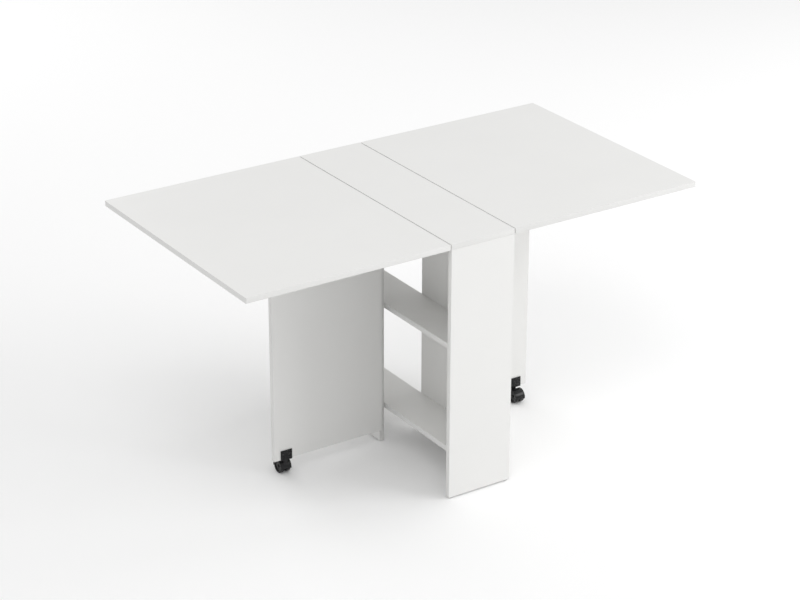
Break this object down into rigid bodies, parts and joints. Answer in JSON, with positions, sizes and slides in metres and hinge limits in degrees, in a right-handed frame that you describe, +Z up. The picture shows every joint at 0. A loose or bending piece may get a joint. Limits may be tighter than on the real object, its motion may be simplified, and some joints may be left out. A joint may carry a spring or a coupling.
{
  "type": "gateleg table",
  "caption": "Narrow white shelf case on glides with a drop leaf on each side, held up by flat gate legs that swing out on twin-wheel casters.",
  "frame": {"origin": "on the floor, under the middle of the case", "axes": "+X along the opened table towards the right leaf, +Y from the front end panel to the rear one, +Z up"},
  "size_m": [1.408, 0.75, 0.74],
  "materials": {
    "white_board": "matt white melamine foil on particle board",
    "edge_band": "white plastic edging, slightly glossier than the faces",
    "beech": "plain turned beech",
    "zinc_fitting": "die-cast zinc, dull",
    "hinge_steel": "zinc-plated steel",
    "white_plastic": "moulded white nylon",
    "black_plastic": "moulded black nylon, fine grain",
    "grey_plastic": "moulded light grey plastic",
    "black_screw": "black-coated steel",
    "soft_tread": "soft black tread"
  },
  "bodies": {
    "case": {"top_panel": "white_board", "top_edging": "edge_band", "front_end_panel": "white_board", "front_end_edging": "edge_band", "rear_end_panel": "white_board", "rear_end_edging": "edge_band", "left_side_panel": "white_board", "left_side_edging": "edge_band", "right_side_panel": "white_board", "right_side_edging": "edge_band", "upper_shelf": "white_board", "upper_shelf_edging": "edge_band", "lower_shelf": "white_board", "lower_shelf_edging": "edge_band", "case_glides": "grey_plastic", "cam_locks": "zinc_fitting", "cam_bolts": "zinc_fitting", "wood_dowels": "beech", "leaf_hinge_case_plates": "hinge_steel", "leaf_hinge_pins": "hinge_steel", "gate_hinge_case_plates": "hinge_steel", "gate_hinge_pins": "hinge_steel", "case_hinge_screws": "hinge_steel"},
    "left_leaf": {"left_leaf": "white_board", "left_leaf_edging": "edge_band", "left_leaf_hinge_plates": "hinge_steel", "left_leaf_stop": "white_plastic", "left_leaf_screws": "hinge_steel"},
    "right_leaf": {"right_leaf": "white_board", "right_leaf_edging": "edge_band", "right_leaf_hinge_plates": "hinge_steel", "right_leaf_stop": "white_plastic", "right_leaf_screws": "hinge_steel"},
    "left_gate": {"left_gate_leg": "white_board", "left_gate_edging": "edge_band", "left_gate_hinge_plates": "hinge_steel", "left_gate_screws": "hinge_steel", "left_caster_bracket": "black_plastic", "left_bracket_screws": "black_screw"},
    "right_gate": {"right_gate_leg": "white_board", "right_gate_edging": "edge_band", "right_gate_hinge_plates": "hinge_steel", "right_gate_screws": "hinge_steel", "right_caster_bracket": "black_plastic", "right_bracket_screws": "black_screw"},
    "left_caster": {"left_caster_hood": "black_plastic", "left_caster_stem": "hinge_steel", "left_caster_axle": "black_screw"},
    "right_caster": {"right_caster_hood": "black_plastic", "right_caster_stem": "hinge_steel", "right_caster_axle": "black_screw"},
    "left_outer_wheel": {"left_outer_wheel": "black_plastic", "left_outer_tyre": "soft_tread"},
    "left_inner_wheel": {"left_inner_wheel": "black_plastic", "left_inner_tyre": "soft_tread"},
    "right_outer_wheel": {"right_outer_wheel": "black_plastic", "right_outer_tyre": "soft_tread"},
    "right_inner_wheel": {"right_inner_wheel": "black_plastic", "right_inner_tyre": "soft_tread"}
  },
  "joints": [
    {"name": "left_leaf_hinge", "type": "hinge", "parent": "case", "child": "left_leaf", "pos_m": [-0.1005, 0, 0.7222], "axis": [0, 1, 0], "range_deg": [0, 8]},
    {"name": "left_gate_hinge", "type": "hinge", "parent": "case", "child": "left_gate", "pos_m": [-0.0788, 0, 0.1], "axis": [0, 0, 1], "range_deg": [0, 90]},
    {"name": "left_caster_swivel", "type": "hinge", "parent": "left_gate", "child": "left_caster", "pos_m": [-0.3903, -0.0103, 0.03], "axis": [0, 0, 1], "continuous": true},
    {"name": "left_outer_wheel_spin", "type": "hinge", "parent": "left_caster", "child": "left_outer_wheel", "pos_m": [-0.40055, 0.0037, 0.019], "axis": [1, 0, 0], "continuous": true},
    {"name": "left_inner_wheel_spin", "type": "hinge", "parent": "left_caster", "child": "left_inner_wheel", "pos_m": [-0.38005, 0.0037, 0.019], "axis": [1, 0, 0], "continuous": true},
    {"name": "right_leaf_hinge", "type": "hinge", "parent": "case", "child": "right_leaf", "pos_m": [0.1005, 0, 0.7222], "axis": [0, -1, 0], "range_deg": [0, 8]},
    {"name": "right_gate_hinge", "type": "hinge", "parent": "case", "child": "right_gate", "pos_m": [0.0788, 0, 0.1], "axis": [0, 0, 1], "range_deg": [0, 90]},
    {"name": "right_caster_swivel", "type": "hinge", "parent": "right_gate", "child": "right_caster", "pos_m": [0.3903, 0.0103, 0.03], "axis": [0, 0, 1], "continuous": true},
    {"name": "right_outer_wheel_spin", "type": "hinge", "parent": "right_caster", "child": "right_outer_wheel", "pos_m": [0.40055, -0.0037, 0.019], "axis": [1, 0, 0], "continuous": true},
    {"name": "right_inner_wheel_spin", "type": "hinge", "parent": "right_caster", "child": "right_inner_wheel", "pos_m": [0.38005, -0.0037, 0.019], "axis": [1, 0, 0], "continuous": true}
  ]
}
